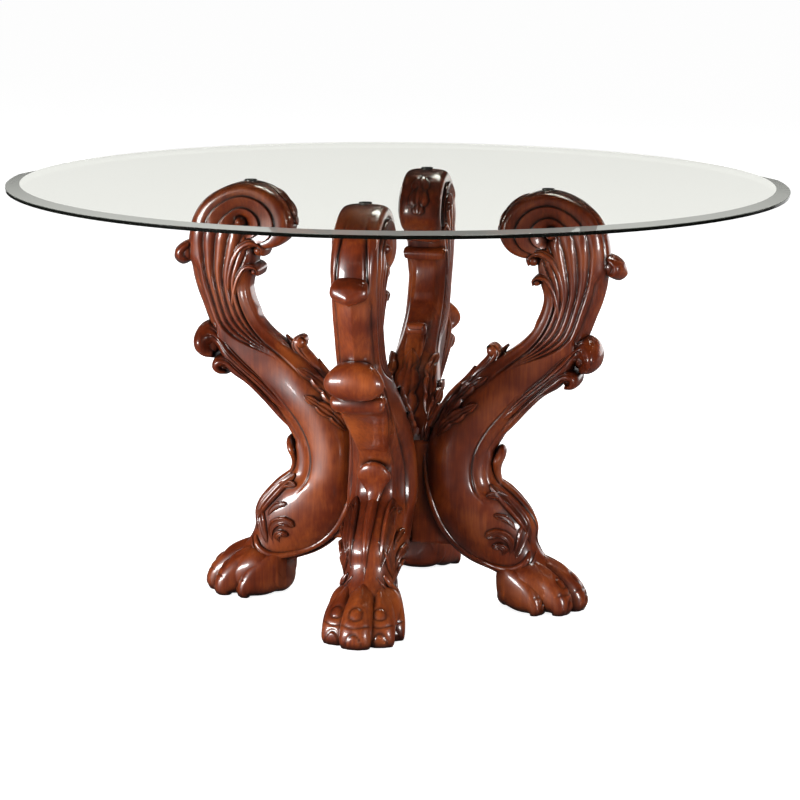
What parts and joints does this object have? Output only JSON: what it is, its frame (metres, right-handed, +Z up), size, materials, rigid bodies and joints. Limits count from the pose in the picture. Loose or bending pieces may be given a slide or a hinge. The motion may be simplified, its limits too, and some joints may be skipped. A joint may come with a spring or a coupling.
{
  "type": "round dining table",
  "caption": "Round glass-topped dining table on a base of carved wooden S-scroll legs with paw feet, bolted round a hidden centre post.",
  "frame": {"origin": "on the floor, on the table's vertical axis", "axes": "+Z up; the legs point along +X, +Y, -X and -Y, and -Y is the front"},
  "size_m": [1.3718, 1.372, 0.762],
  "materials": {
    "glass": "clear polished float glass with a ground bevel",
    "carved_wood": "red-brown stained and lacquered hardwood with dark glaze in the carving",
    "hidden_wood": "stained hardwood, matt",
    "clear_pad": "clear soft plastic button",
    "glide_plastic": "brown nylon",
    "steel": "zinc plated",
    "brass": "plain"
  },
  "bodies": {
    "root": {"glass_top": "glass", "centre_post": "hidden_wood", "post_cap": "hidden_wood", "leg_right": "carved_wood", "glass_pad_right": "clear_pad", "foot_glide_right": "glide_plastic", "bolt_right_low": "steel", "washer_right_low": "steel", "insert_right_low": "brass", "bolt_right_high": "steel", "washer_right_high": "steel", "insert_right_high": "brass", "leg_rear": "carved_wood", "glass_pad_rear": "clear_pad", "foot_glide_rear": "glide_plastic", "bolt_rear_low": "steel", "washer_rear_low": "steel", "insert_rear_low": "brass", "bolt_rear_high": "steel", "washer_rear_high": "steel", "insert_rear_high": "brass", "leg_left": "carved_wood", "glass_pad_left": "clear_pad", "foot_glide_left": "glide_plastic", "bolt_left_low": "steel", "washer_left_low": "steel", "insert_left_low": "brass", "bolt_left_high": "steel", "washer_left_high": "steel", "insert_left_high": "brass", "leg_front": "carved_wood", "glass_pad_front": "clear_pad", "foot_glide_front": "glide_plastic", "bolt_front_low": "steel", "washer_front_low": "steel", "insert_front_low": "brass", "bolt_front_high": "steel", "washer_front_high": "steel", "insert_front_high": "brass"}
  },
  "joints": []
}
